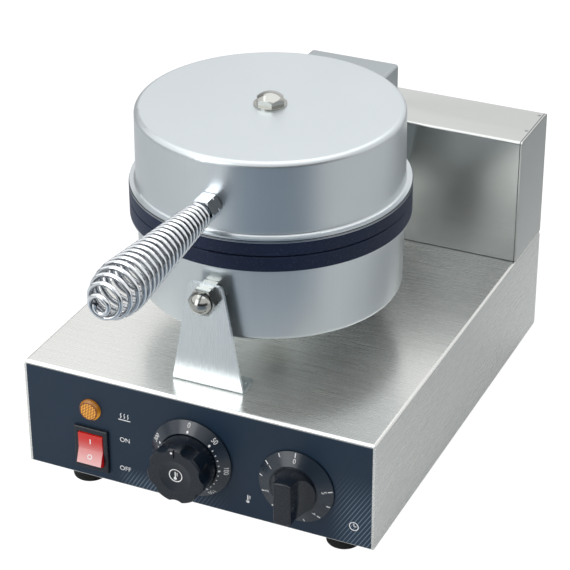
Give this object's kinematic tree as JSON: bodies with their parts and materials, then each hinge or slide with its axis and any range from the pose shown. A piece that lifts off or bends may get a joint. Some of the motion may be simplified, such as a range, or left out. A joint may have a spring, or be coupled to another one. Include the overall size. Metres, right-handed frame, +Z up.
{
  "type": "waffle cone maker",
  "caption": "Countertop waffle cone maker: steel base with dials, round hinged baking plates and a coiled wire handle.",
  "frame": {"origin": "on the counter, under the middle of the whole object's box, handle included", "axes": "+Z up, front with the controls and the handle towards -Y, +X to the right seen from the front"},
  "size_m": [0.25, 0.4418, 0.2652],
  "materials": {
    "brushed_steel": "brushed stainless sheet",
    "satin_aluminium": "spun, satin",
    "coated_plate": "cast, dark non-stick coating",
    "bright_steel": "polished",
    "zinc_steel": "zinc plated",
    "panel_film": "satin dark film",
    "black_plastic": "moulded, satin",
    "red_plastic": "translucent moulding",
    "amber_plastic": "translucent prismatic lens",
    "rubber": "moulded",
    "ceramic_wool": "felted insulation",
    "element_steel": "heat-darkened tube",
    "copper_bulb": "plain"
  },
  "bodies": {
    "base": {"base_shell": "brushed_steel", "bottom_cover": "brushed_steel", "rear_box_shell": "brushed_steel", "rear_box_end_plates": "brushed_steel", "front_bracket": "brushed_steel", "hinge_bracket": "brushed_steel", "front_overlay": "panel_film", "lower_housing": "satin_aluminium", "lower_plate": "coated_plate", "pan_cap_nut": "bright_steel", "pan_stud_nuts": "bright_steel", "pan_stud": "bright_steel", "hinge_pin": "bright_steel", "hinge_clips": "zinc_steel", "hinge_bracket_screws": "zinc_steel", "bracket_screws": "zinc_steel", "rear_box_screws": "zinc_steel", "bottom_cover_screws": "zinc_steel", "foot_screws": "zinc_steel", "lower_nut": "zinc_steel", "lower_washer": "zinc_steel", "lower_center_bolt": "zinc_steel", "rear_conduit": "zinc_steel", "conduit_nuts": "zinc_steel", "lower_clamp_plate": "zinc_steel", "thermostat_body": "zinc_steel", "lower_heating_element": "element_steel", "lower_insulation": "ceramic_wool", "sensor_bulb": "copper_bulb", "temperature_scale_ring": "black_plastic", "switch_housing": "black_plastic", "lamp_body": "black_plastic", "timer_body": "black_plastic", "terminal_block": "black_plastic", "cable_gland": "black_plastic", "gland_lock_nut": "black_plastic", "lamp_lens": "amber_plastic", "rubber_feet": "rubber"},
    "lid": {"lid_cover": "satin_aluminium", "lid_rim_ring": "satin_aluminium", "upper_plate": "coated_plate", "upper_heating_element": "element_steel", "upper_clamp_plate": "zinc_steel", "upper_insulation": "ceramic_wool", "upper_center_bolt": "zinc_steel", "lid_washer": "bright_steel", "lid_cap_nut": "bright_steel", "hinge_box": "brushed_steel", "hinge_sleeve": "zinc_steel", "handle_stud": "bright_steel", "handle_nuts": "bright_steel", "handle_ferrule": "bright_steel", "handle_spring": "bright_steel"},
    "temperature_dial": {"temperature_knob": "black_plastic", "thermostat_shaft": "zinc_steel"},
    "timer_dial": {"timer_knob": "black_plastic", "timer_scale_ring": "black_plastic", "timer_shaft": "zinc_steel"},
    "rocker": {"rocker": "red_plastic"}
  },
  "joints": [
    {"name": "lid_hinge", "type": "hinge", "parent": "base", "child": "lid", "pos_m": [0, 0.11566, 0.2128], "axis": [-1, 0, 0], "range_deg": [0, 105]},
    {"name": "temperature_turn", "type": "hinge", "parent": "base", "child": "temperature_dial", "pos_m": [-0.002, -0.11934, 0.054], "axis": [0, 1, 0], "range_deg": [0, 294]},
    {"name": "timer_turn", "type": "hinge", "parent": "base", "child": "timer_dial", "pos_m": [0.072, -0.11934, 0.0525], "axis": [0, 1, 0], "range_deg": [0, 277]},
    {"name": "rocker_tilt", "type": "hinge", "parent": "base", "child": "rocker", "pos_m": [-0.076, -0.10924, 0.041], "axis": [1, 0, 0], "range_deg": [0, 20]}
  ]
}
